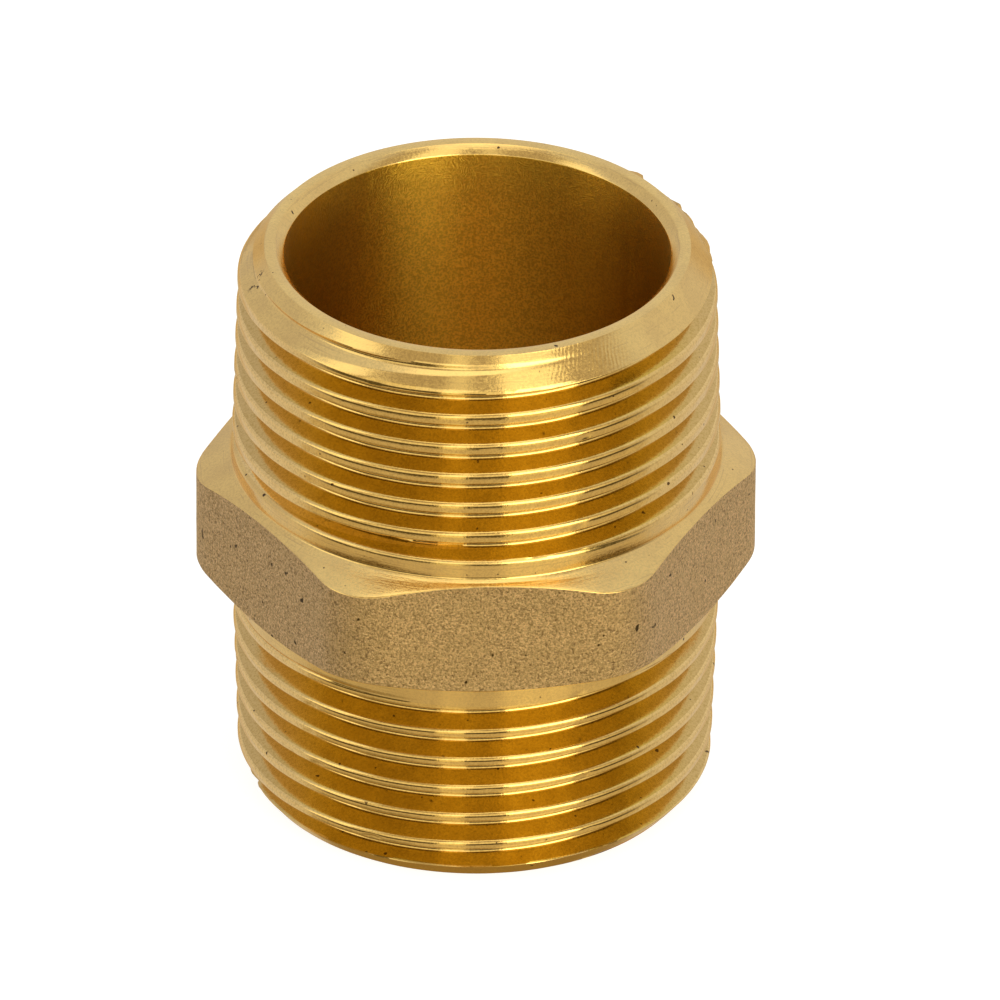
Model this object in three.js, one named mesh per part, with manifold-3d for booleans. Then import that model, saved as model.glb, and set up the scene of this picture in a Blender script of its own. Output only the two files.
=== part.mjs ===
// Brass hex nipple, R 3/4 (DN 20): two taper-threaded ends, a hexagon between them and a bore right
// through. The real fitting is one piece, forged and then turned and threaded, so it is one mesh.
// Millimetres. +Z runs along the bore, the origin is the centre of the lower end face, and two of
// the hexagon's flats face -Y and +Y, with corners on -X and +X.

import * as THREE from 'three';
import { mergeVertices } from 'three/addons/utils/BufferGeometryUtils.js';
import Module from 'manifold-3d';

// Thread, R 3/4 to ISO 7-1: Whitworth form, 14 threads per inch, taper 1 in 16 on diameter
const PITCH = 25.4 / 14;
const GAUGE_DIAMETER = 26.441;
const GAUGE_LENGTH = 9.5;
const TAPER = 1 / 16;
const FLANK_ANGLE = THREE.MathUtils.degToRad(27.5);
const THREAD_DEPTH = 0.640327 * PITCH;
const ROOT_FLAT = PITCH / 6;
const GROOVE_OVERCUT = 0.25;

// Heights along the axis
const LENGTH = 32.6;
const TOP_THREAD_LENGTH = 11.9;
const BOTTOM_THREAD_LENGTH = 11.5;

// End faces: each end is turned off at 45 degrees outside and inside the bore
const BORE_RADIUS = 10.45;
const MOUTH_CHAMFER = 0.47;
const TOP_FACE_RADIUS = 11.52;
const BOTTOM_FACE_RADIUS = 12.0;
const BOTTOM_CHAMFER_HEIGHT = 1.1;

// Hexagon: forged flats with soft corners, turned to a shallow cone above and below.
// The cone heights are where each cone passes the reference radius.
const ACROSS_FLATS = 27.5;
const CORNER_RADIUS = 4.0;
const CONE_REFERENCE_RADIUS = 13.5;
const TOP_CONE_HEIGHT = LENGTH - 13.12;
const BOTTOM_CONE_HEIGHT = 12.66;
const TOP_CONE_ANGLE = THREE.MathUtils.degToRad(24);
const BOTTOM_CONE_ANGLE = THREE.MathUtils.degToRad(22.5);

// Where the first crest stands at angle zero: above the lower end, and below the upper end
const BOTTOM_CREST_OFFSET = -0.44 * PITCH;
const TOP_CREST_OFFSET = 1.55 * PITCH;

// Facets
const SEGMENTS = 40;
const CORNER_SEGMENTS = 5;
const MARGIN = 1;
const OUTSIDE_RADIUS = ACROSS_FLATS / 2 + 3;

const wasm = await Module();
wasm.setup();

// Crest radius at a distance from an end face
function crestRadius(distance) {
  return GAUGE_DIAMETER / 2 + (distance - GAUGE_LENGTH) * TAPER / 2;
}

// A three.js geometry as a solid, with its shared vertices merged and its collapsed faces dropped
function solidOf(geometry) {
  const bare = geometry.index ? geometry : mergeVertices(geometry);
  bare.deleteAttribute('normal');
  bare.deleteAttribute('uv');
  const merged = mergeVertices(bare, 1e-4);
  const corners = merged.index.array;
  const kept = [];
  for (let i = 0; i < corners.length; i += 3) {
    const [a, b, c] = [corners[i], corners[i + 1], corners[i + 2]];
    if (a !== b && b !== c && c !== a) kept.push(a, b, c);
  }
  return new wasm.Manifold(new wasm.Mesh({
    numProp: 3,
    vertProperties: new Float32Array(merged.attributes.position.array),
    triVerts: new Uint32Array(kept),
  }));
}

// A solid of revolution about Z, from [radius, height] points that start and end on the axis
function turned(outline) {
  const points = outline.map(([radius, height]) => new THREE.Vector2(radius, height));
  const geometry = new THREE.LatheGeometry(points, SEGMENTS);
  geometry.rotateX(Math.PI / 2);
  return solidOf(geometry);
}

// The whole outside as a lathe leaves it: chamfers, plain thread cones, collars and hexagon cones
function turnedOutside() {
  const topCollar = crestRadius(TOP_THREAD_LENGTH);
  const bottomCollar = crestRadius(BOTTOM_THREAD_LENGTH);
  const topChamfer = (crestRadius(0) - TOP_FACE_RADIUS) / (1 - TAPER / 2);
  const topCone = (radius) =>
    TOP_CONE_HEIGHT - (radius - CONE_REFERENCE_RADIUS) * Math.tan(TOP_CONE_ANGLE);
  const bottomCone = (radius) =>
    BOTTOM_CONE_HEIGHT + (radius - CONE_REFERENCE_RADIUS) * Math.tan(BOTTOM_CONE_ANGLE);
  return turned([
    [0, 0],
    [BOTTOM_FACE_RADIUS, 0],
    [crestRadius(BOTTOM_CHAMFER_HEIGHT), BOTTOM_CHAMFER_HEIGHT],
    [bottomCollar, BOTTOM_THREAD_LENGTH],
    [bottomCollar, bottomCone(bottomCollar)],
    [OUTSIDE_RADIUS, bottomCone(OUTSIDE_RADIUS)],
    [OUTSIDE_RADIUS, topCone(OUTSIDE_RADIUS)],
    [topCollar, topCone(topCollar)],
    [topCollar, LENGTH - TOP_THREAD_LENGTH],
    [crestRadius(topChamfer), LENGTH - topChamfer],
    [TOP_FACE_RADIUS, LENGTH],
    [0, LENGTH],
  ]);
}

// The hexagon's prism, longer than the fitting, with rounded corners
function hexPrism() {
  const shape = new THREE.Shape();
  const cornerCentre = (ACROSS_FLATS / 2 - CORNER_RADIUS) / Math.cos(Math.PI / 6);
  for (let corner = 0; corner < 6; corner += 1) {
    const angle = corner * Math.PI / 3;
    shape.absarc(
      cornerCentre * Math.cos(angle),
      cornerCentre * Math.sin(angle),
      CORNER_RADIUS,
      angle - Math.PI / 6,
      angle + Math.PI / 6,
      false,
    );
  }
  shape.closePath();
  const geometry = new THREE.ExtrudeGeometry(shape, {
    depth: LENGTH + 2 * MARGIN,
    bevelEnabled: false,
    curveSegments: CORNER_SEGMENTS,
  });
  geometry.translate(0, 0, -MARGIN);
  return solidOf(geometry);
}

// The groove's root: a right-hand helix on a cone, whose section is set by radius and height
class RootHelix extends THREE.Curve {
  constructor(startHeight, turns, rootRadiusAt) {
    super();
    this.startHeight = startHeight;
    this.turns = turns;
    this.rootRadiusAt = rootRadiusAt;
  }

  getPoint(t, target = new THREE.Vector3()) {
    const angle = 2 * Math.PI * this.turns * t;
    const height = this.startHeight + PITCH * this.turns * t;
    const radius = this.rootRadiusAt(height);
    return target.set(radius * Math.cos(angle), radius * Math.sin(angle), height);
  }

  getPointAt(u, target) {
    return this.getPoint(u, target);
  }

  computeFrenetFrames(segments) {
    const frames = { tangents: [], normals: [], binormals: [] };
    for (let i = 0; i <= segments; i += 1) {
      const angle = 2 * Math.PI * this.turns * i / segments;
      frames.tangents.push(new THREE.Vector3(-Math.sin(angle), Math.cos(angle), 0));
      frames.normals.push(new THREE.Vector3(Math.cos(angle), Math.sin(angle), 0));
      frames.binormals.push(new THREE.Vector3(0, 0, -1));
    }
    return frames;
  }
}

// One thread's groove, cut over the heights from low to high. A groove's root lies half a pitch
// from the crest beside it.
function threadGroove(low, high, crestHeight, rootRadiusAt) {
  const open = THREAD_DEPTH + GROOVE_OVERCUT;
  const halfRoot = ROOT_FLAT / 2;
  const halfOpen = halfRoot + open * Math.tan(FLANK_ANGLE);
  const section = new THREE.Shape([
    new THREE.Vector2(0, -halfRoot),
    new THREE.Vector2(open, -halfOpen),
    new THREE.Vector2(open, halfOpen),
    new THREE.Vector2(0, halfRoot),
  ]);
  const firstRoot = crestHeight + PITCH / 2;
  const turnsBelow = Math.ceil((firstRoot - low) / PITCH) + 1;
  const startHeight = firstRoot - turnsBelow * PITCH;
  const turns = Math.ceil((high - startHeight) / PITCH) + 1;
  const helix = new RootHelix(startHeight, turns, rootRadiusAt);
  const groove = solidOf(new THREE.ExtrudeGeometry(section, {
    steps: turns * SEGMENTS,
    extrudePath: helix,
  }));
  const zone = new THREE.CylinderGeometry(2 * OUTSIDE_RADIUS, 2 * OUTSIDE_RADIUS, high - low, 4);
  zone.rotateX(Math.PI / 2);
  zone.translate(0, 0, (low + high) / 2);
  return groove.intersect(solidOf(zone));
}

function bottomGroove() {
  return threadGroove(
    -MARGIN,
    BOTTOM_THREAD_LENGTH,
    BOTTOM_CREST_OFFSET,
    (height) => crestRadius(height) - THREAD_DEPTH,
  );
}

function topGroove() {
  return threadGroove(
    LENGTH - TOP_THREAD_LENGTH,
    LENGTH + MARGIN,
    LENGTH - TOP_CREST_OFFSET,
    (height) => crestRadius(LENGTH - height) - THREAD_DEPTH,
  );
}

// What the drill and the mouth chamfers take out
function bore() {
  const mouth = BORE_RADIUS + MOUTH_CHAMFER + MARGIN;
  return turned([
    [0, -MARGIN],
    [mouth, -MARGIN],
    [BORE_RADIUS, MOUTH_CHAMFER],
    [BORE_RADIUS, LENGTH - MOUTH_CHAMFER],
    [mouth, LENGTH + MARGIN],
    [0, LENGTH + MARGIN],
  ]);
}

function geometryOf(solid) {
  const mesh = solid.getMesh();
  const geometry = new THREE.BufferGeometry();
  geometry.setAttribute('position', new THREE.BufferAttribute(mesh.vertProperties, 3));
  geometry.setIndex(new THREE.BufferAttribute(mesh.triVerts, 1));
  return geometry;
}

const brass = new THREE.MeshStandardMaterial({ color: 0xd2a95a, roughness: 0.28, metalness: 1 });

const nipple = turnedOutside()
  .intersect(hexPrism())
  .subtract(bottomGroove())
  .subtract(topGroove())
  .subtract(bore());

const nippleBody = new THREE.Mesh(geometryOf(nipple), brass);
nippleBody.name = 'nipple_body';

const group = new THREE.Group();
group.name = 'hex_nipple';
group.add(nippleBody);

export default group;
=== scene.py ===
"""A brass hex nipple, R 3/4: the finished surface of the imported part, on a pale floor in soft light.

The body is one mesh, a grid of rows along the outline and columns round the axis. In the threads
the rows climb with the helix, so every crest and root is a row of its own. Lengths in the constants
are millimetres; the mesh is scaled to metres when it is made.
"""

import math

import bpy
import numpy as np
from mathutils import Matrix, Vector, noise


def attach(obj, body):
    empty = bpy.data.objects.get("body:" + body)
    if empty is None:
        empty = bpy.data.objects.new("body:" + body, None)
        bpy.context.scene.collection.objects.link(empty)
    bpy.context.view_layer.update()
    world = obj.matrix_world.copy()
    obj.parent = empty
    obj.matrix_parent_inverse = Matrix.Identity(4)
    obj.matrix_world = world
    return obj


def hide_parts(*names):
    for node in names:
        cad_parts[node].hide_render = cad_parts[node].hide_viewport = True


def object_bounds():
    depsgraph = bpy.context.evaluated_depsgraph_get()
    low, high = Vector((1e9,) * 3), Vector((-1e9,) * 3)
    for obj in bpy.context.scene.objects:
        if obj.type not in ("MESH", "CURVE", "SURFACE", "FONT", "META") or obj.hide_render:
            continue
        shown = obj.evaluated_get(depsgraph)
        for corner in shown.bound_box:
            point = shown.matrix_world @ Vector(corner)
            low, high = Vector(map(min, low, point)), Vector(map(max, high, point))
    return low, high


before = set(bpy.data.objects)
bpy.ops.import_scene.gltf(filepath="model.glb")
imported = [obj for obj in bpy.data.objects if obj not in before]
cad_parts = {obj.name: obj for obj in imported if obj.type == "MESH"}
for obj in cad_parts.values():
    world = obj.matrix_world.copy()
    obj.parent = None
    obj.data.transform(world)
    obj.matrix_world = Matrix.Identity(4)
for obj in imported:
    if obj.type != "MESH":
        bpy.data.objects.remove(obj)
cad_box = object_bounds()

MM = 0.001
LENGTH = (cad_box[1][2] - cad_box[0][2]) / MM
ACROSS_FLATS = (cad_box[1][1] - cad_box[0][1]) / MM

# Thread, R 3/4: 14 threads per inch, taper 1 in 16, crests left a little flat and blunt
PITCH = 25.4 / 14
TAPER = 1 / 16
GAUGE_DIAMETER = 26.441
GAUGE_LENGTH = 9.5
FLANK = math.radians(27.5)
TOP_CREST_FLAT = 0.30
BOTTOM_CREST_FLAT = 0.17
CREST_TOP_ROUND = 0.27
CREST_UNDER_ROUND = 0.08
ROOT_ROUND = 0.22
TOP_THREAD_LENGTH = 11.9
BOTTOM_THREAD_LENGTH = 11.5
TOP_CREST_OFFSET = -1.55 * PITCH
BOTTOM_CREST_OFFSET = -0.44 * PITCH

# Ends, bore and collars
BORE_RADIUS = 10.45
MOUTH_CHAMFER = 0.47
TOP_FACE_RADIUS = 11.52
BOTTOM_FACE_RADIUS = 12.0
EDGE_ROUND = 0.06
MOUTH_EDGE_OUT = 0.03
MOUTH_EDGE_IN = 0.02
BORE_EDGE_SUPPORT = 0.06
BORE_EDGE_OUT = 0.015
BORE_EDGE_BACK = 0.012
BORE_ROW_MARGIN = 0.03
BORE_ROWS = 12
COLLAR_EDGE_ROUND = 0.22
COLLAR_FILLET = 0.18
TOP_CHAMFER_SLOPE = 0.94
BOTTOM_CHAMFER_SLOPE = 0.8
CHAMFER_BLEND = 0.05

# Hexagon
CORNER_RADIUS = 4.0
CONE_REFERENCE_RADIUS = 13.5
TOP_CONE_HEIGHT = LENGTH - 13.12
BOTTOM_CONE_HEIGHT = 12.66
TOP_CONE_ANGLE = math.radians(24)
BOTTOM_CONE_ANGLE = math.radians(22.5)
HEX_EDGE_ROUND = 0.04

COLUMNS = 264

# The fillet between a collar and the cone beside it: how far out and how far back up the collar,
# both as shares of the fillet's size. The first row is a support row on the collar.
COLLAR_FILLET_ROWS = ((0, 0.95), (0, 0.75), (0.05, 0.42), (0.18, 0.18), (0.42, 0.0), (0.8, -0.27))

# Rows along a flank, as shares of its height: few along the thread, more where the end chamfer cuts
FLANK_SHARES = (0.08, 0.92)
FINE_FLANK = (0.08, 0.22, 0.36, 0.5, 0.64, 0.78, 0.92)
FINE_PITCHES = 1.5

# Material slots. A thread's faces are CREST down to CREST_DEPTH below the crest and in the root, and
# GROOVE between, in colours painted with shade. Where the upper chamfer cuts a groove to less than
# SHALLOW_CUT, they are MACHINED.
MACHINED, CREST, GROOVE, FORGED, BORE = range(5)
CREST_DEPTH = 0.15
SHALLOW_CUT = 0.45

# Irregularities. Angles are in degrees round the axis, from +X. A pair is where a change fades in or
# out: distances below the upper end face for the torn crest, and above the lower one for the chips.
SKIN_WAVE = 0.05
SKIN_HALF_HEIGHT = 3.4
THREAD_WAVE = 0.012
THREAD_RADII = (11.6, 12.2)
KNOCKS = 34
KNOCK_SPREAD = 0.22
KNOCK_DEPTH = 0.10
KNOCK_SEED = 7
TORN_MIDDLE = 33
TORN_HALF = 25
TORN_DEPTH = 0.17
TORN_FROM = (0.7, 1.1)
TORN_TO = (1.35, 1.9)
BURR_MIDDLE = 46
BURR_HALF = 4.5
BURR_REACH = 0.62
CHIP_MIDDLE = 190
CHIP_HALF = 19
CHIP_DEPTH = 0.25
CHIP_RADII = (11.9, 12.4)
CHIP_TO = (0.9, 1.7)

# Points are merged on a grid this fine, and edges sharper than the angle aren't smoothed over
MERGE_STEP = 1e-4
SHARP_ANGLE = math.radians(38)


# ---- Shape -------------------------------------------------------------------------------------

def crest_radius(distance):
    """Radius of the thread's crest at a distance from its end face."""
    return GAUGE_DIAMETER / 2 + (distance - GAUGE_LENGTH) * TAPER / 2


def arc(radius, start, end, steps):
    """Points (along the axis, in depth) of a round, as its normal tilts from start to end."""
    tilts = np.radians(np.linspace(start, end, steps + 1))
    return radius * np.sin(tilts), radius * (1 - np.cos(tilts))


def thread_rows(crest_flat, flank_shares):
    """One pitch of the thread as rows: height above the crest's middle, and depth under the crest."""
    tilt = 90 - math.degrees(FLANK)
    slope = math.tan(FLANK)
    half = crest_flat / 2
    up, up_depth = arc(CREST_TOP_ROUND, 0, tilt, 5)
    low, low_depth = arc(CREST_UNDER_ROUND, tilt, 0, 3)
    root, root_rise = arc(ROOT_ROUND, -tilt, tilt, 5)
    upper_start = half + up[-1]
    lower_end = PITCH - half - low[0]
    # The two flanks and the root round share what is left of the pitch
    straight = lower_end - upper_start - 2 * root[-1]
    difference = (up_depth[-1] - low_depth[0]) * slope
    upper_run = (straight - difference) / 2
    lower_run = (straight + difference) / 2
    root_depth = up_depth[-1] + upper_run / slope + root_rise[0]
    root_middle = upper_start + upper_run + root[-1]
    heights = [0.0, *(half + up)]
    depths = [0.0, *up_depth]
    for share in flank_shares:
        heights.append(upper_start + share * upper_run)
        depths.append(up_depth[-1] + share * upper_run / slope)
    heights.extend(root_middle + root)
    depths.extend(root_depth - root_rise)
    for share in flank_shares:
        heights.append(lower_end - (1 - share) * lower_run)
        depths.append(low_depth[0] + (1 - share) * lower_run / slope)
    heights.extend(PITCH - half - low)
    depths.extend(low_depth)
    return np.array(heights), np.array(depths)


def smooth_min(a, b, width):
    """The smaller of two radii, with the corner between them rounded off."""
    share = np.maximum(width - np.abs(a - b), 0) / width
    return np.minimum(a, b) - share * share * width / 4


class Grid:
    """Rows of points round the body, each row one radius and one height for every column."""

    def __init__(self):
        self.angles = np.linspace(0, 2 * math.pi, COLUMNS + 1)
        self.radii = []
        self.heights = []
        self.materials = []

    def row(self, radius, height, material):
        """Adds a row. The material is that of the faces between this row and the next one."""
        self.radii.append(np.broadcast_to(radius, self.angles.shape).copy())
        self.heights.append(np.broadcast_to(height, self.angles.shape).copy())
        self.materials.append(np.broadcast_to(material, self.angles.shape).copy())

    def thread(self, low, high, crest_height, crest_flat, radius_at, end_radius_at, collar_height):
        """Adds a thread between two heights. Its rows climb one pitch in a turn.

        The crest is at radius_at(height), and the end chamfer cuts off what is past end_radius_at.
        """
        turn = self.angles / (2 * math.pi)
        first = math.floor((low - crest_height) / PITCH) - 1
        last = math.ceil((high - crest_height) / PITCH)
        for pitch_number in range(first, last + 1):
            reach = abs(crest_height + PITCH * (pitch_number + 1) - collar_height)
            near_end = reach > high - low - FINE_PITCHES * PITCH
            rise, depth = thread_rows(crest_flat, FINE_FLANK if near_end else FLANK_SHARES)
            deeper = np.maximum(depth, np.roll(depth, -1))
            shallower = np.minimum(depth, np.roll(depth, -1))
            smooth = (deeper < CREST_DEPTH) | (shallower > depth.max() - ROOT_ROUND / 2 - 0.01)
            kinds = np.where(smooth, CREST, GROOVE)
            for offset, below_crest, kind in zip(rise, depth, kinds):
                height = crest_height + PITCH * (pitch_number + turn) + offset
                if height.max() < low or height.min() > high:
                    continue
                height = np.clip(height, low, high)
                # A row that has run into the zone's end takes the depth of the profile there
                place = np.mod((height - crest_height) / PITCH - turn, 1) * PITCH
                at_end = (height <= low) | (height >= high)
                profile = np.interp(place, [*rise, PITCH], [*depth, 0.0])
                radius = radius_at(height) - np.where(at_end, profile, below_crest)
                # Beside the collar the cut runs out along a slope like the flank's
                from_collar = np.abs(height - collar_height)
                run_out = radius_at(height) - COLLAR_EDGE_ROUND - from_collar / math.tan(FLANK)
                radius = np.maximum(radius, run_out)
                limit = end_radius_at(height)
                cut_away = (limit < radius_at(height)) & (limit - radius < SHALLOW_CUT)
                kind_here = np.where(cut_away & (collar_height > LENGTH / 2), MACHINED, kind)
                self.row(smooth_min(radius, limit, CHAMFER_BLEND), height,
                         np.where(limit < radius, MACHINED, kind_here))


def hex_radius(angle):
    """Radius of the rounded hexagon at an angle, with corners on the X axis."""
    centre = (ACROSS_FLATS / 2 - CORNER_RADIUS) / math.cos(math.pi / 6)
    away = np.abs(np.mod(angle + math.pi / 6, math.pi / 3) - math.pi / 6)
    across = np.maximum(CORNER_RADIUS ** 2 - (centre * np.sin(away)) ** 2, 0)
    corner = centre * np.cos(away) + np.sqrt(across)
    flat = ACROSS_FLATS / 2 / np.cos(math.pi / 6 - away)
    corner_reach = CORNER_RADIUS * math.sin(math.pi / 6)
    return np.where(corner * np.sin(away) < corner_reach, corner, flat)


def build_grid():
    """The whole outline, from the lower bore mouth out, up and back down through the bore."""
    grid = Grid()
    top_collar = crest_radius(TOP_THREAD_LENGTH)
    bottom_collar = crest_radius(BOTTOM_THREAD_LENGTH)
    top_edge = LENGTH - TOP_THREAD_LENGTH
    bottom_edge = BOTTOM_THREAD_LENGTH

    # Lower end face and lower thread
    mouth = BORE_RADIUS + MOUTH_CHAMFER
    grid.row(mouth + MOUTH_EDGE_OUT, 0, MACHINED)
    grid.row((mouth + BOTTOM_FACE_RADIUS) / 2, 0, MACHINED)
    grid.row(BOTTOM_FACE_RADIUS - EDGE_ROUND, 0, MACHINED)
    grid.row(BOTTOM_FACE_RADIUS - EDGE_ROUND / 3, EDGE_ROUND / 4, MACHINED)
    grid.thread(
        EDGE_ROUND, bottom_edge, BOTTOM_CREST_OFFSET, BOTTOM_CREST_FLAT, crest_radius,
        lambda height: BOTTOM_FACE_RADIUS + height * BOTTOM_CHAMFER_SLOPE, bottom_edge,
    )

    # Lower collar
    at_edge = grid.radii[-1]
    for radius, height in rounded_edge(bottom_collar, bottom_edge, 1):
        grid.row(np.maximum(at_edge, radius), height, MACHINED)
    cone_slope = math.tan(BOTTOM_CONE_ANGLE)
    foot = BOTTOM_CONE_HEIGHT + (bottom_collar - CONE_REFERENCE_RADIUS) * cone_slope
    for out, back in COLLAR_FILLET_ROWS:
        grid.row(bottom_collar + out * COLLAR_FILLET, foot - back * COLLAR_FILLET, MACHINED)

    # Hexagon
    outline = hex_radius(grid.angles)
    low_edge = BOTTOM_CONE_HEIGHT + (outline - CONE_REFERENCE_RADIUS) * cone_slope
    top_slope = math.tan(TOP_CONE_ANGLE)
    high_edge = TOP_CONE_HEIGHT - (outline - CONE_REFERENCE_RADIUS) * top_slope
    hexagon_rows(grid, bottom_collar + COLLAR_FILLET, top_collar + COLLAR_FILLET,
                 outline, low_edge, high_edge, cone_slope, top_slope)

    # Upper collar and upper thread
    shoulder = TOP_CONE_HEIGHT - (top_collar - CONE_REFERENCE_RADIUS) * top_slope
    for out, back in reversed(COLLAR_FILLET_ROWS):
        grid.row(top_collar + out * COLLAR_FILLET, shoulder + back * COLLAR_FILLET, MACHINED)
    start = len(grid.radii)
    grid.thread(
        top_edge, LENGTH - EDGE_ROUND, LENGTH + TOP_CREST_OFFSET, TOP_CREST_FLAT,
        lambda height: crest_radius(LENGTH - height),
        lambda height: TOP_FACE_RADIUS + (LENGTH - height) * TOP_CHAMFER_SLOPE, top_edge,
    )
    at_edge = grid.radii[start]
    edge_rows = [(np.maximum(at_edge, radius), height)
                 for radius, height in rounded_edge(top_collar, top_edge, -1)]
    for place, (radius, height) in enumerate(reversed(edge_rows)):
        grid.radii.insert(start + place, radius)
        grid.heights.insert(start + place, np.full(grid.angles.shape, height))
        grid.materials.insert(start + place, np.full(grid.angles.shape, MACHINED))
    grid.row(TOP_FACE_RADIUS + EDGE_ROUND / 3, LENGTH - EDGE_ROUND / 4, MACHINED)
    grid.row(TOP_FACE_RADIUS - EDGE_ROUND, LENGTH, MACHINED)
    grid.row((mouth + TOP_FACE_RADIUS) / 2, LENGTH, MACHINED)
    grid.row(mouth + MOUTH_EDGE_OUT, LENGTH, MACHINED)
    grid.row(mouth - MOUTH_EDGE_IN, LENGTH - MOUTH_EDGE_IN, MACHINED)
    grid.row(BORE_RADIUS + BORE_EDGE_SUPPORT, LENGTH - MOUTH_CHAMFER + BORE_EDGE_SUPPORT, MACHINED)

    # Bore
    for radius, height in bore_rows():
        grid.row(radius, height, BORE)
    grid.row(BORE_RADIUS + BORE_EDGE_SUPPORT, MOUTH_CHAMFER - BORE_EDGE_SUPPORT, MACHINED)
    grid.row(mouth - MOUTH_EDGE_IN, MOUTH_EDGE_IN, MACHINED)
    return grid


def rounded_edge(radius, height, side):
    """The round between a ledge and a collar, from the ledge outwards. side 1 has the collar above."""
    for share, drop in ((1, 0), (0.62, 0.18), (0.3, 0.4), (0.1, 0.66), (0, 1), (0, 1.4)):
        yield radius - share * COLLAR_EDGE_ROUND, height + side * drop * COLLAR_EDGE_ROUND


def hexagon_rows(grid, low_radius, high_radius, outline, low_edge, high_edge, low_slope, top_slope):
    """Adds the lower cone, the forged flats between two rounded edges, and the upper cone."""
    edge = HEX_EDGE_ROUND
    low_start = BOTTOM_CONE_HEIGHT + (low_radius - CONE_REFERENCE_RADIUS) * low_slope
    top_start = TOP_CONE_HEIGHT - (high_radius - CONE_REFERENCE_RADIUS) * top_slope
    for share in (0.04, 0.3, 0.6, 0.85, 0.97, 1):
        reach = outline - edge
        grid.row(low_radius + (reach - low_radius) * share,
                 low_start + (low_edge - edge * low_slope - low_start) * share, MACHINED)
    grid.row(outline - edge * 0.35, low_edge + edge * 0.12, MACHINED)
    grid.row(outline - edge * 0.06, low_edge + edge * 0.5, FORGED)
    for share in (0, 0.01, *np.linspace(0.08, 0.92, 11), 0.99, 1):
        grid.row(outline, low_edge + edge + (high_edge - low_edge - 2 * edge) * share, FORGED)
    grid.row(outline - edge * 0.06, high_edge - edge * 0.5, MACHINED)
    grid.row(outline - edge * 0.35, high_edge - edge * 0.12, MACHINED)
    for share in (1, 0.97, 0.85, 0.6, 0.3, 0.04):
        reach = outline - edge
        grid.row(high_radius + (reach - high_radius) * share,
                 top_start + (high_edge + edge * top_slope - top_start) * share, MACHINED)


def bore_rows():
    """The bore's wall, from the upper mouth chamfer to the lower one."""
    edge = BORE_RADIUS + BORE_EDGE_OUT
    first = LENGTH - MOUTH_CHAMFER - BORE_ROW_MARGIN
    last = MOUTH_CHAMFER + BORE_ROW_MARGIN
    yield edge, LENGTH - MOUTH_CHAMFER + BORE_EDGE_BACK
    for height in np.linspace(first, last, BORE_ROWS):
        yield BORE_RADIUS, height
    yield edge, MOUTH_CHAMFER - BORE_EDGE_BACK


def ramp(value, low, high):
    """0 below low, 1 above high, and smooth between."""
    share = np.clip((value - low) / (high - low), 0, 1)
    return share * share * (3 - 2 * share)


def rough_field(points, scale, seed):
    """Smooth noise from -1 to 1 at each point. Scale is in features per millimetre."""
    moved = points * scale + seed
    return np.array([noise.noise(Vector(place)) for place in moved.tolist()])


def off_angle(angles, middle):
    """How far each angle, in radians, is from a middle given in degrees. The answer is in degrees."""
    return np.degrees(np.abs(np.angle(np.exp(1j * (angles - math.radians(middle))))))


def knocks(angles, heights, crest_height_at):
    """How deep a set of small knocks on one thread's crests goes at each place."""
    draw = np.random.default_rng(KNOCK_SEED)
    total = np.zeros(angles.shape)
    for _ in range(KNOCKS):
        angle = draw.uniform(0, 2 * math.pi)
        height = crest_height_at(angle, draw.integers(0, 6))
        size = draw.uniform(0.6, 1.4) * KNOCK_SPREAD
        around = np.angle(np.exp(1j * (angles - angle))) * CONE_REFERENCE_RADIUS
        away = (around / size) ** 2 + ((heights - height) / (0.6 * KNOCK_SPREAD)) ** 2
        total += draw.uniform(0.4, 1.0) * KNOCK_DEPTH * np.exp(-np.minimum(away, 30))
    return total


def top_crest_height(angle, turn):
    return LENGTH + TOP_CREST_OFFSET + PITCH * (angle / (2 * math.pi) - turn)


def bottom_crest_height(angle, turn):
    return BOTTOM_CREST_OFFSET + PITCH * (angle / (2 * math.pi) + turn + 1)


def skin_and_thread_waves(points, radii, heights, angles):
    """The radii with a faint wave on the forged flats and a fainter one on the threads."""
    outline = hex_radius(angles)
    middle = (BOTTOM_CONE_HEIGHT + TOP_CONE_HEIGHT) / 2
    on_skin = ramp(radii, outline - 0.12, outline - 0.02)
    on_skin = on_skin * ramp(-np.abs(heights - middle), -SKIN_HALF_HEIGHT, 0.5 - SKIN_HALF_HEIGHT)
    wave = 0.6 * rough_field(points, 0.45, 3.1) + 0.4 * rough_field(points, 1.3, 9.7)
    radii = radii - on_skin * SKIN_WAVE * (0.5 + 0.5 * wave)
    on_thread = ramp(radii, *THREAD_RADII) * (1 - on_skin)
    return radii + on_thread * THREAD_WAVE * rough_field(points, 0.8, 5.5)


def torn_crest(points, heights, angles):
    """How far the first crest of the upper thread stands out, where it is torn and has a burr."""
    jagged = rough_field(points, 1.0, 6.55) + 0.5 * rough_field(points, 2.3, 12.45)
    depth = LENGTH - heights
    off_torn = off_angle(angles, TORN_MIDDLE)
    off_burr = off_angle(angles, BURR_MIDDLE)
    torn = ramp(depth, *TORN_FROM) * ramp(-depth, -TORN_TO[1], -TORN_TO[0])
    torn = torn * ramp(-off_torn, -TORN_HALF - 12, -TORN_HALF + 6)
    burr = ramp(-off_burr, -BURR_HALF - 2, -BURR_HALF + 2)
    burr = burr * (0.6 + 0.4 * rough_field(points, 2.3, 4.1))
    return torn * (burr * BURR_REACH - TORN_DEPTH * np.clip(1.7 * jagged, -0.9, 1))


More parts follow.
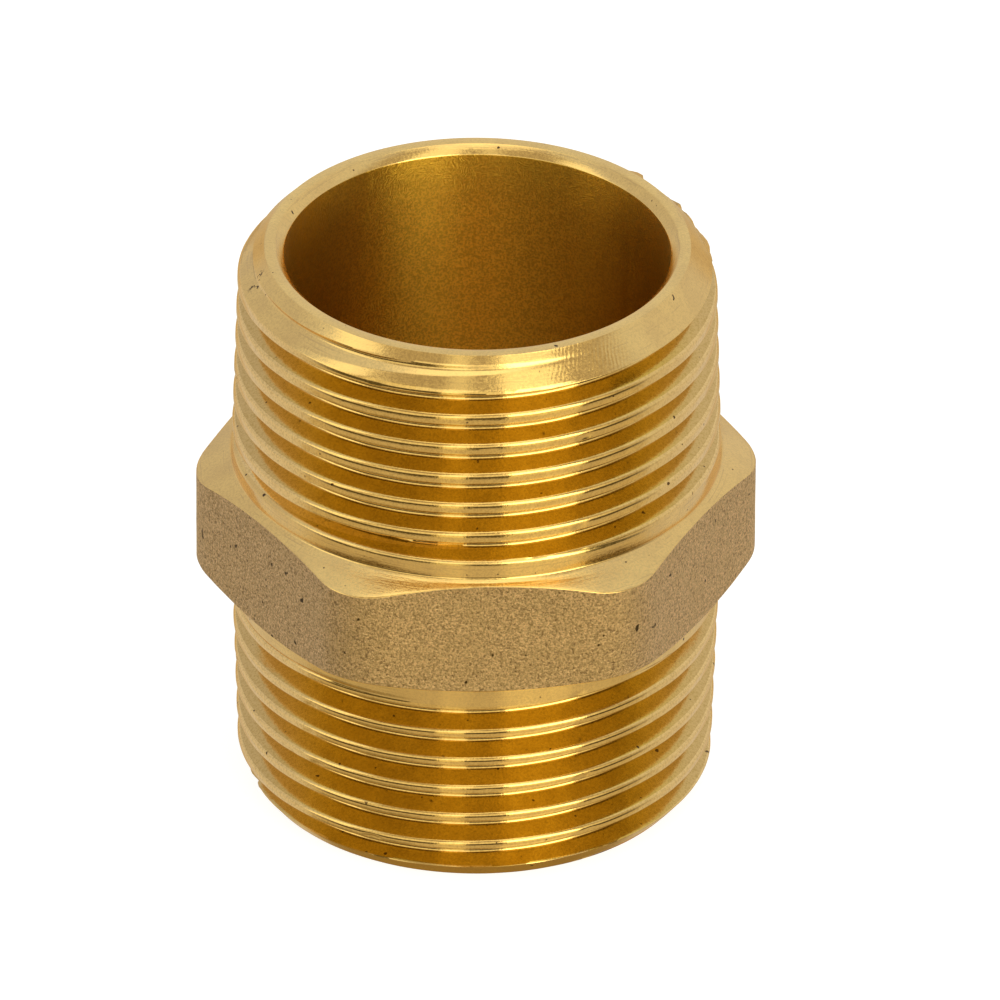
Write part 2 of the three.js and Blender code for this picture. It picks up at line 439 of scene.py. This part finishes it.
def rim_chips(points, radii, heights, angles):
    """How deep the lower rim is chipped."""
    jagged = rough_field(points, 1.0, 2.3) + 0.5 * rough_field(points, 2.3, 8.2)
    chipped = ramp(-off_angle(angles, CHIP_MIDDLE), -CHIP_HALF - 7, -CHIP_HALF + 7)
    chipped = chipped * ramp(-heights, -CHIP_TO[1], -CHIP_TO[0]) * ramp(radii, *CHIP_RADII)
    return chipped * CHIP_DEPTH * np.clip(0.1 + jagged, 0, 1)


def worn(points, radii, heights, angles):
    """The radii after forging, threading and handling: small changes only."""
    radii = skin_and_thread_waves(points, radii, heights, angles)
    radii = radii - knocks(angles, heights, top_crest_height)
    radii = radii - knocks(angles, heights, bottom_crest_height)
    radii = radii + torn_crest(points, heights, angles)
    return radii - rim_chips(points, radii, heights, angles)


def make_mesh(grid, name):
    """The grid as a mesh: the last column joins the first, and the last row the first.

    The two columns differ by a few points where one turn of a thread has more rows than the next,
    and at a thread's ends. That leaves seven slits on the seam, each under 0.1 mm wide.
    """
    radii = np.array(grid.radii)
    heights = np.array(grid.heights)
    rows = len(radii)
    angles = np.broadcast_to(grid.angles, radii.shape)
    places = np.stack([radii * np.cos(angles), radii * np.sin(angles), heights], axis=-1)
    radii = worn(places.reshape(-1, 3), radii.reshape(-1), heights.reshape(-1), angles.reshape(-1))
    radii = radii.reshape(heights.shape)
    points = np.stack([radii * np.cos(angles), radii * np.sin(angles), heights], axis=-1)
    number = np.arange(rows * (COLUMNS + 1)).reshape(rows, COLUMNS + 1)
    points = points.reshape(-1, 3)
    keys = np.rint(points / MERGE_STEP).astype(np.int64)
    _, first, merged = np.unique(keys, axis=0, return_index=True, return_inverse=True)
    merged = merged.reshape(-1)
    above = np.roll(number, -1, axis=0)
    quads = np.stack([number[:, :-1], number[:, 1:], above[:, 1:], above[:, :-1]], axis=-1)
    quads = merged[quads.reshape(-1, 4)]
    material = np.array(grid.materials)[:, :-1].reshape(-1)
    faces = []
    slots = []
    for corners, slot in zip(quads.tolist(), material.tolist()):
        kept = [c for i, c in enumerate(corners) if c != corners[i - 1]]
        if len(kept) >= 3 and len(set(kept)) == len(kept):
            faces.append(kept)
            slots.append(slot)
    mesh = bpy.data.meshes.new(name)
    mesh.from_pydata((points[first] * MM).tolist(), [], faces)
    mesh.polygons.foreach_set("material_index", slots)
    mesh.validate()
    mesh.shade_smooth()
    mesh.set_sharp_from_angle(angle=SHARP_ANGLE)
    return mesh


# ---- Materials ---------------------------------------------------------------------------------

# Colours and marks were chosen by comparing renders with the photograph. Noise scales are in features
# per millimetre, bump distances in millimetres, and marks are placed by angle (degrees from +X).
BRASS = (0.92, 0.62, 0.23)
PIT_COLOUR = (0.10, 0.06, 0.03, 1)
CHATTER_ANGLES = (-75, -54)
CHATTER_STEP = 1.15
CHATTER_LEAN = -2.5
CRACK_ANGLE = -171
CRACK_WANDER = 14
CRACK_HEIGHTS = (LENGTH - 0.3, LENGTH - 1.35)
# Across the axis, the thread is painted paler, as a sheen, and the bore painted in shade, beyond these
# distances from the YZ plane
THREAD_SIDE_SHEEN_FROM = 8.0
THREAD_SIDE_SHEEN_FULL = 12.2
BORE_SIDE_SHADE_FROM = 3.5
BORE_SIDE_SHADE_FULL = 9.0


class Nodes:
    """Adds and links shader nodes."""

    def __init__(self, tree):
        self.tree = tree
        tree.nodes.clear()

    def add(self, kind, **settings):
        node = self.tree.nodes.new(kind)
        for key, value in settings.items():
            setattr(node, key, value)
        return node

    def link(self, value, socket):
        if isinstance(value, bpy.types.NodeSocket):
            self.tree.links.new(value, socket)
        else:
            socket.default_value = value

    def math(self, operation, a, b=0.0, c=0.0):
        node = self.add("ShaderNodeMath", operation=operation)
        for value, socket in zip((a, b, c), node.inputs):
            self.link(value, socket)
        return node.outputs[0]

    def smooth(self, value, low, high, start=0.0, end=1.0):
        node = self.add("ShaderNodeMapRange", interpolation_type="SMOOTHSTEP")
        for given, socket in zip((value, low, high, start, end), node.inputs):
            self.link(given, socket)
        return node.outputs[0]

    def noise(self, vector, scale, detail=2.0, roughness=0.5):
        node = self.add("ShaderNodeTexNoise")
        self.link(vector, node.inputs["Vector"])
        node.inputs["Scale"].default_value = scale
        node.inputs["Detail"].default_value = detail
        node.inputs["Roughness"].default_value = roughness
        return node.outputs["Fac"]

    def mix(self, share, a, b):
        node = self.add("ShaderNodeMix", data_type="RGBA")
        self.link(share, node.inputs[0])
        self.link(a, node.inputs[6])
        self.link(b, node.inputs[7])
        return node.outputs[2]

    def bump(self, height, strength, distance, normal=None):
        node = self.add("ShaderNodeBump")
        node.inputs["Strength"].default_value = strength
        node.inputs["Distance"].default_value = distance
        self.link(height, node.inputs["Height"])
        if normal is not None:
            self.link(normal, node.inputs["Normal"])
        return node.outputs[0]


def metal(name, colour):
    """A new brass material: its nodes, its shader and the object-space position, in millimetres."""
    material = bpy.data.materials.new(name)
    material.use_nodes = True
    nodes = Nodes(material.node_tree)
    output = nodes.add("ShaderNodeOutputMaterial")
    shader = nodes.add("ShaderNodeBsdfPrincipled")
    shader.inputs["Metallic"].default_value = 1.0
    shader.inputs["Base Color"].default_value = (*colour, 1)
    nodes.link(shader.outputs[0], output.inputs["Surface"])
    place = nodes.add("ShaderNodeTexCoord").outputs["Object"]
    scale = nodes.add("ShaderNodeVectorMath", operation="SCALE")
    nodes.link(place, scale.inputs[0])
    scale.inputs["Scale"].default_value = 1 / MM
    return material, nodes, shader, scale.outputs[0]


def stretched(nodes, place, across, along):
    """The place, scaled across the axis and along it, so that noise lies in rings or in streaks."""
    scale = nodes.add("ShaderNodeVectorMath", operation="MULTIPLY")
    nodes.link(place, scale.inputs[0])
    scale.inputs[1].default_value = (across, across, along)
    return scale.outputs[0]


def axes(nodes, place):
    """The three coordinates of the place."""
    split = nodes.add("ShaderNodeSeparateXYZ")
    nodes.link(place, split.inputs[0])
    return split.outputs


def polar(nodes, place):
    """The angle round the axis in degrees, the distance from the axis and the height."""
    x, y, z = axes(nodes, place)
    angle = nodes.math("MULTIPLY", nodes.math("ARCTAN2", y, x), 180 / math.pi)
    reach = nodes.math("SQRT", nodes.math("ADD", nodes.math("MULTIPLY", x, x),
                                          nodes.math("MULTIPLY", y, y)))
    return angle, reach, z


def painted_side_ramp(nodes, place, start, full, strength):
    """0 near the YZ plane, rising to the strength far out to -X and +X: the share of the painted sheen
    and shade at the sides.
    """
    x, _, _ = axes(nodes, place)
    return nodes.smooth(nodes.math("ABSOLUTE", x), start, full, 0.0, strength)


def turning_marks(nodes, place, density):
    """Noise that lies in rings round the axis, on end faces as well as along the outside.

    Density is in rings per millimetre, about.
    """
    _, reach, z = polar(nodes, place)
    combine = nodes.add("ShaderNodeCombineXYZ")
    nodes.link(nodes.math("MULTIPLY", reach, density), combine.inputs[0])
    nodes.link(nodes.math("MULTIPLY", z, density), combine.inputs[1])
    nodes.link(nodes.math("MULTIPLY", nodes.noise(place, 0.25, 1.0), 6.0), combine.inputs[2])
    return nodes.noise(combine.outputs[0], 1.0, 2.0, 0.5)


def ripples(nodes, place, step, lean, wobble, wobble_scale):
    """Ripples a few tenths of a millimetre apart, as a wave from -1 to 1. Step is in degrees."""
    angle, _, z = polar(nodes, place)
    shift = nodes.math("MULTIPLY", nodes.noise(place, wobble_scale, 2.0, 0.5), wobble)
    phase = nodes.math("ADD", nodes.math("ADD", angle, nodes.math("MULTIPLY", z, lean)), shift)
    return nodes.math("SINE", nodes.math("MULTIPLY", phase, 2 * math.pi / step))


def pits(nodes, place, scale, low, high):
    """Small scattered pits: 1 inside a pit, 0 outside."""
    return nodes.smooth(nodes.noise(place, scale, 1.0, 0.4), low, high)


def machined_brass():
    """Turned faces: rings from the tool, a fine grain, dull blotches, and the chatter and crack."""
    material, nodes, shader, place = metal("machined_brass", BRASS)
    rings = turning_marks(nodes, place, 7.0)
    grain = nodes.noise(place, 7.0, 3.0, 0.6)
    blotches = nodes.noise(place, 0.5, 3.0, 0.55)
    hole = pits(nodes, place, 2.3, 0.76, 0.79)
    colour = nodes.mix(nodes.smooth(blotches, 0.35, 0.7), (0.95, 0.655, 0.24, 1), (0.86, 0.585, 0.22, 1))
    colour = nodes.mix(nodes.smooth(grain, 0.6, 0.3, 0.0, 0.45), colour, (0.66, 0.46, 0.18, 1))
    colour = nodes.mix(nodes.smooth(rings, 0.42, 0.28, 0.0, 0.45), colour, (0.60, 0.41, 0.18, 1))
    colour = nodes.mix(hole, colour, PIT_COLOUR)
    colour = nodes.mix(crack(nodes, place), colour, (0.12, 0.07, 0.03, 1))
    nodes.link(colour, shader.inputs["Base Color"])
    nodes.link(nodes.smooth(grain, 0.2, 0.8, 0.10, 0.24), shader.inputs["Roughness"])
    normal = nodes.bump(rings, 0.7, 0.007 * MM)
    normal = nodes.bump(grain, 0.8, 0.005 * MM, normal)
    normal = nodes.bump(chatter(nodes, place), 1.0, 0.003 * MM, normal)
    nodes.link(normal, shader.inputs["Normal"])
    return material


def chatter(nodes, place):
    """Ripples that a shivering tool left across the upper chamfer, in one patch."""
    angle, _, z = polar(nodes, place)
    start, end = CHATTER_ANGLES
    patch = nodes.math("MULTIPLY", nodes.smooth(angle, start - 4, start + 6),
                       nodes.smooth(angle, end - 10, end + 6, 1.0, 0.0))
    patch = nodes.math("MULTIPLY", patch, nodes.smooth(z, LENGTH - 1.7, LENGTH - 1.2))
    patchy = nodes.smooth(nodes.noise(place, 0.8, 2.0, 0.5), 0.35, 0.6)
    patch = nodes.math("MULTIPLY", patch, patchy)
    wave = ripples(nodes, place, CHATTER_STEP, CHATTER_LEAN, 1.5, 0.9)
    return nodes.math("MULTIPLY", wave, patch)


def crack(nodes, place):
    """A short crack across the upper chamfer: 1 in the crack, 0 outside."""
    angle, _, z = polar(nodes, place)
    wander = nodes.math("MULTIPLY", nodes.noise(place, 1.6, 4.0, 0.7), CRACK_WANDER)
    away = nodes.math("ABSOLUTE", nodes.math(
        "SUBTRACT", nodes.math("ADD", angle, wander), CRACK_ANGLE + CRACK_WANDER / 2))
    line = nodes.smooth(away, 0.25, 0.8, 1.0, 0.0)
    top, foot = CRACK_HEIGHTS
    ends = nodes.math("MULTIPLY", nodes.smooth(z, foot - 0.1, foot + 0.1),
                      nodes.smooth(z, top - 0.1, top + 0.1, 1.0, 0.0))
    return nodes.math("MULTIPLY", line, ends)


def thread_brass(name, light, dark, pale, smoothest, roughest, drag_depth):
    """Threads: streaks along the cut, a fine grain, and a painted paler sheen at the sides."""
    material, nodes, shader, place = metal(name, BRASS)
    drag = nodes.noise(stretched(nodes, place, 5.0, 0.9), 1.0, 2.0, 0.6)
    grain = nodes.noise(place, 7.5, 3.0, 0.6)
    blotches = nodes.noise(place, 0.9, 3.0, 0.6)
    hole = pits(nodes, place, 2.1, 0.765, 0.80)
    colour = nodes.mix(nodes.smooth(blotches, 0.3, 0.7), (*light, 1), (*dark, 1))
    # The photograph shows the thread paler at both sides than in front
    # Painted sheen: the paler colour towards -X and +X stands in for light, not for a finish of the
    # brass
    painted_side_shading = painted_side_ramp(nodes, place, THREAD_SIDE_SHEEN_FROM, THREAD_SIDE_SHEEN_FULL, 0.8)
    colour = nodes.mix(painted_side_shading, colour, (*pale, 1))
    grimy = [0.65 * channel for channel in dark]
    colour = nodes.mix(nodes.smooth(grain, 0.6, 0.3, 0.0, 0.5), colour, (*grimy, 1))
    colour = nodes.mix(hole, colour, (0.16, 0.09, 0.03, 1))
    nodes.link(colour, shader.inputs["Base Color"])
    nodes.link(nodes.smooth(grain, 0.2, 0.8, smoothest, roughest), shader.inputs["Roughness"])
    normal = nodes.bump(drag, 0.8, drag_depth * MM)
    normal = nodes.bump(grain, 0.8, 0.003 * MM, normal)
    nodes.link(normal, shader.inputs["Normal"])
    return material


def crest_brass():
    # The third colour is the painted sheen at the sides
    return thread_brass("thread_crest", (0.96, 0.65, 0.22), (0.88, 0.58, 0.19), (1.0, 0.71, 0.31),
                        0.05, 0.12, 0.002)


def painted_shade_groove_brass():
    # Painted shade: these darker, deeper amber colours stand in for the shade and the light bounced
    # between the flanks; the third is the painted sheen at the sides
    return thread_brass("thread_groove_painted_shade", (0.82, 0.545, 0.10), (0.73, 0.475, 0.08), (0.77, 0.53, 0.23),
                        0.11, 0.19, 0.006)


def forged_brass():
    """The flats as forged: rough and matt, with dark specks and a few deep pits."""
    material, nodes, shader, place = metal("forged_brass", (0.80, 0.58, 0.30))
    grain = nodes.noise(place, 5.4, 4.0, 0.68)
    fine = nodes.noise(place, 8.5, 3.0, 0.65)
    patches = nodes.noise(place, 0.45, 3.0, 0.5)
    speck = nodes.smooth(grain, 0.46, 0.34)
    hole = pits(nodes, place, 1.9, 0.745, 0.78)
    colour = nodes.mix(nodes.smooth(fine, 0.32, 0.68), (0.86, 0.61, 0.33, 1), (0.40, 0.275, 0.13, 1))
    colour = nodes.mix(nodes.smooth(patches, 0.4, 0.75, 0.0, 0.35), colour, (0.60, 0.42, 0.20, 1))
    colour = nodes.mix(nodes.math("MULTIPLY", speck, 0.75), colour, (0.19, 0.12, 0.06, 1))
    colour = nodes.mix(hole, colour, (0.08, 0.05, 0.02, 1))
    nodes.link(colour, shader.inputs["Base Color"])
    nodes.link(nodes.smooth(grain, 0.3, 0.7, 0.62, 0.46), shader.inputs["Roughness"])
    normal = nodes.bump(grain, 1.0, 0.09 * MM)
    normal = nodes.bump(fine, 1.0, 0.02 * MM, normal)
    nodes.link(normal, shader.inputs["Normal"])
    return material


def bore_brass():
    """The bore as drilled: brushed round the axis, with ripples, rings and a grain, and painted shade at
    both sides and near the upper mouth.
    """
    material, nodes, shader, place = metal("bore_brass", BRASS)
    ripple = ripples(nodes, place, 1.6, 4.0, 22.0, 0.8)
    rings = turning_marks(nodes, place, 6.0)
    grain = nodes.noise(place, 7.5, 3.0, 0.65)
    colour = nodes.mix(nodes.smooth(grain, 0.40, 0.60), (1.0, 0.60, 0.075, 1), (0.66, 0.395, 0.045, 1))
    # The photograph shows the wall darker at both sides, and no brighter at the mouth than below it
    # Painted shade: the wall is painted in shade towards -X and +X and towards the upper mouth
    _, _, z = axes(nodes, place)
    painted_side_shading = painted_side_ramp(nodes, place, BORE_SIDE_SHADE_FROM, BORE_SIDE_SHADE_FULL, 0.72)
    painted_mouth_shade = nodes.smooth(z, LENGTH - 4.5, LENGTH - 0.6, 0.0, 0.55)
    painted_bore_shade = nodes.math("MAXIMUM", painted_side_shading, painted_mouth_shade)
    colour = nodes.mix(painted_bore_shade, colour, (0.48, 0.28, 0.03, 1))
    nodes.link(colour, shader.inputs["Base Color"])
    shader.inputs["Roughness"].default_value = 0.32
    shader.inputs["Anisotropic"].default_value = 0.9
    shader.inputs["Anisotropic Rotation"].default_value = 0.25
    tangent = nodes.add("ShaderNodeTangent", direction_type="RADIAL", axis="Z")
    nodes.link(tangent.outputs[0], shader.inputs["Tangent"])
    normal = nodes.bump(ripple, 1.0, 0.0022 * MM)
    normal = nodes.bump(rings, 0.6, 0.012 * MM, normal)
    normal = nodes.bump(grain, 0.8, 0.014 * MM, normal)
    nodes.link(normal, shader.inputs["Normal"])
    return material


# ---- Scene -------------------------------------------------------------------------------------

# The camera that fits the photograph. Distances are in millimetres.
CAMERA_AZIMUTH = math.radians(-3.15)
CAMERA_ELEVATION = math.radians(31.36)
CAMERA_DISTANCE = 1175.05
CAMERA_ROLL = math.radians(0.35)
TARGET_HEIGHT = LENGTH - 15.966
LENS = 777.3
SENSOR = 36.0
SHIFT_X = 0.0240
SHIFT_Y = -0.0022
CLIP_NEAR = 0.1
CLIP_FAR = 20

# The floor, a little below the part so that the two don't share a plane, and its shaded disc (metres)
FLOOR_REACH = 6.0
FLOOR_DROP = 0.00005
SHADE_HEIGHT = 0.0001
SHADE_SIDES = 48


def make_camera():
    data = bpy.data.cameras.new("camera")
    data.lens = LENS
    data.sensor_width = SENSOR
    data.shift_x = SHIFT_X
    data.shift_y = SHIFT_Y
    data.clip_start = CLIP_NEAR
    data.clip_end = CLIP_FAR
    camera = bpy.data.objects.new("camera", data)
    bpy.context.scene.collection.objects.link(camera)
    back = Vector((
        math.sin(CAMERA_AZIMUTH) * math.cos(CAMERA_ELEVATION),
        -math.cos(CAMERA_AZIMUTH) * math.cos(CAMERA_ELEVATION),
        math.sin(CAMERA_ELEVATION),
    ))
    camera.location = Vector((0, 0, TARGET_HEIGHT * MM)) + back * CAMERA_DISTANCE * MM
    turn = back.to_track_quat("Z", "Y").to_matrix()
    camera.rotation_euler = (turn @ Matrix.Rotation(CAMERA_ROLL, 3, "Z")).to_euler()
    bpy.context.scene.camera = camera


def make_floor():
    """A pale floor that neither shades the part nor shows in its brass."""
    mesh = bpy.data.meshes.new("floor")
    reach = FLOOR_REACH
    mesh.from_pydata(
        [(-reach, -reach, 0), (reach, -reach, 0), (reach, reach, 0), (-reach, reach, 0)],
        [], [(0, 1, 2, 3)],
    )
    floor = bpy.data.objects.new("floor", mesh)
    bpy.context.scene.collection.objects.link(floor)
    floor.location.z = -FLOOR_DROP
    material = bpy.data.materials.new("pale_floor")
    material.use_nodes = True
    shader = material.node_tree.nodes["Principled BSDF"]
    shader.inputs["Base Color"].default_value = (0.35, 0.35, 0.35, 1)
    shader.inputs["Roughness"].default_value = 1.0
    shader.inputs["Specular IOR Level"].default_value = 0.0
    shader.inputs["Emission Color"].default_value = (1, 1, 1, 1)
    shader.inputs["Emission Strength"].default_value = 0.85
    mesh.materials.append(material)
    floor.visible_glossy = False
    floor.visible_diffuse = False
    floor.visible_shadow = False


def make_bore_shade():
    """The dim floor that the bore's wall mirrors. The camera doesn't see this disc."""
    mesh = bpy.data.meshes.new("bore_shade")
    turn = [2 * math.pi * side / SHADE_SIDES for side in range(SHADE_SIDES)]
    reach = (BORE_RADIUS - 0.1) * MM
    mesh.from_pydata([(reach * math.cos(a), reach * math.sin(a), SHADE_HEIGHT) for a in turn],
                     [], [tuple(range(SHADE_SIDES))])
    shade = bpy.data.objects.new("bore_shade", mesh)
    bpy.context.scene.collection.objects.link(shade)
    material = bpy.data.materials.new("floor_in_shade")
    material.use_nodes = True
    shader = material.node_tree.nodes["Principled BSDF"]
    shader.inputs["Base Color"].default_value = (0.3, 0.28, 0.24, 1)
    shader.inputs["Roughness"].default_value = 1.0
    shader.inputs["Emission Color"].default_value = (1, 0.9, 0.7, 1)
    shader.inputs["Emission Strength"].default_value = 0.22
    mesh.materials.append(material)
    shade.visible_camera = False


class Surroundings:
    """The studio as a world: soft panels of light round the object, by azimuth and elevation."""

    def __init__(self, nodes):
        self.nodes = nodes
        x, y, z = axes(nodes, nodes.add("ShaderNodeTexCoord").outputs["Generated"])
        azimuth = nodes.math("ARCTAN2", x, nodes.math("MULTIPLY", y, -1.0))
        self.azimuth = nodes.math("SUBTRACT", nodes.math("MULTIPLY", azimuth, 180 / math.pi),
                                  math.degrees(CAMERA_AZIMUTH))
        self.elevation = nodes.math("MULTIPLY", nodes.math("ARCSINE", z), 180 / math.pi)
        self.colour = None

    def between(self, value, low, high, soft):
        """1 between low and high, falling to 0 over a soft edge at both ends."""
        rise = self.nodes.smooth(value, low - soft / 2, low + soft / 2)
        fall = self.nodes.smooth(value, high - soft / 2, high + soft / 2, 1.0, 0.0)
        return self.nodes.math("MULTIPLY", rise, fall)

    def start(self, colour):
        self.colour = (*colour, 1)

    def panel(self, colour, azimuths, elevations, soft, soft_up):
        """Lays a panel of one colour over what is there."""
        share = self.between(self.elevation, *elevations, soft_up)
        if azimuths is not None:
            share = self.nodes.math(
                "MULTIPLY", share, self.between(self.azimuth, *azimuths, soft))
        self.colour = self.nodes.mix(share, self.colour, (*colour, 1))


# Where the panels stand, in degrees: azimuth from the camera's side, elevation from the horizon
FRONT = (-75, 80)
RIGHT = (14, 49)
LEFT = (-17, -5)
ABOVE = (5, 78)
LOW = (8, 44)
HORIZON = (-24, 6)
TABLE = (-48, -24)
NEAR_FOOT = (-50, -35)
UNDERNEATH = (-95, -48)
BEHIND_LOW = (-60, 6)
BESIDE = (10, 52)


def lay_panels(around):
    """The studio, from the room to the smaller panels that lie over it."""
    # Sides and back: white walls, brighter towards the top
    around.start((0.67, 0.64, 0.61))
    around.panel((0.72, 0.73, 0.74), None, (14, 90), 1, 16)
    around.panel((0.71, 0.70, 0.70), (96, 166), BESIDE, 12, 12)
    around.panel((0.60, 0.59, 0.60), (-166, -96), BESIDE, 12, 12)
    # Behind and below the horizon: the pale table, which the outer edges mirror
    around.panel((0.62, 0.50, 0.31), (142, 190), BEHIND_LOW, 16, 10)
    around.panel((0.62, 0.50, 0.31), (-190, -142), BEHIND_LOW, 16, 10)
    # Front and above the horizon: a large pale reflector, with the two panels brighter
    around.panel((0.49, 0.425, 0.31), FRONT, ABOVE, 22, 8)
    around.panel((1.35, 1.28, 0.95), RIGHT, ABOVE, 2.5, 8)
    around.panel((1.0, 0.95, 0.70), LEFT, ABOVE, 2.5, 8)
    # Low in front: the windows that light the tops of the crests and the bore
    around.panel((0.95, 0.89, 0.67), (-52, 62), (8, 42), 24, 8)
    around.panel((4.0, 3.7, 2.7), RIGHT, LOW, 2.5, 8)
    around.panel((1.6, 1.5, 1.2), LEFT, LOW, 2.5, 8)
    around.panel((1.35, 1.3, 1.05), (-84, -60), (8, 54), 8, 8)
    # At the horizon: the dark room between the panels
    around.panel((0.12, 0.10, 0.05), FRONT, HORIZON, 26, 6)
    around.panel((1.0, 0.90, 0.52), RIGHT, HORIZON, 1.5, 6)
    around.panel((1.0, 0.90, 0.52), LEFT, HORIZON, 1.5, 6)
    # Overhead: a large soft panel
    around.panel((1.45, 1.38, 1.12), None, (72, 95), 1, 12)
    # Below the horizon: the pale table, lit by the panels, and dark close to the fitting
    around.panel((0.60, 0.52, 0.37), (-88, 88), TABLE, 14, 6)
    around.panel((0.78, 0.68, 0.45), RIGHT, TABLE, 4, 6)
    around.panel((0.70, 0.61, 0.42), LEFT, TABLE, 4, 6)
    # Lower still: what the grooves show after two reflections
    around.panel((0.34, 0.29, 0.19), (-88, -32), NEAR_FOOT, 24, 4)
    around.panel((1.0, 0.87, 0.56), RIGHT, NEAR_FOOT, 3, 4)
    around.panel((0.80, 0.70, 0.45), LEFT, NEAR_FOOT, 3, 4)
    around.panel((0.32, 0.21, 0.06), None, UNDERNEATH, 1, 8)
    around.panel((0.85, 0.74, 0.42), RIGHT, UNDERNEATH, 2, 8)
    around.panel((0.85, 0.74, 0.42), LEFT, UNDERNEATH, 2, 8)


def make_world():
    """The studio, which the brass mirrors, behind a plain white backdrop that the camera sees."""
    world = bpy.data.worlds.new("studio")
    bpy.context.scene.world = world
    world.use_nodes = True
    nodes = Nodes(world.node_tree)
    around = Surroundings(nodes)
    lay_panels(around)
    background = nodes.add("ShaderNodeBackground")
    nodes.link(around.colour, background.inputs["Color"])
    plain = nodes.add("ShaderNodeBackground")
    plain.inputs["Color"].default_value = (1, 1, 1, 1)
    mix = nodes.add("ShaderNodeMixShader")
    nodes.link(nodes.add("ShaderNodeLightPath").outputs["Is Camera Ray"], mix.inputs[0])
    nodes.link(background.outputs[0], mix.inputs[1])
    nodes.link(plain.outputs[0], mix.inputs[2])
    output = nodes.add("ShaderNodeOutputWorld")
    nodes.link(mix.outputs[0], output.inputs["Surface"])


def make_body():
    """The fitting itself, which stands in for the CAD body."""
    mesh = make_mesh(build_grid(), "brass_body")
    for material in (machined_brass(), crest_brass(), painted_shade_groove_brass(), forged_brass(), bore_brass()):
        mesh.materials.append(material)
    body = bpy.data.objects.new("brass_body", mesh)
    bpy.context.scene.collection.objects.link(body)
    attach(body, "root")
    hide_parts("nipple_body")


make_camera()
make_floor()
make_bore_shade()
make_world()
make_body()
bpy.context.scene.view_settings.view_transform = "Standard"
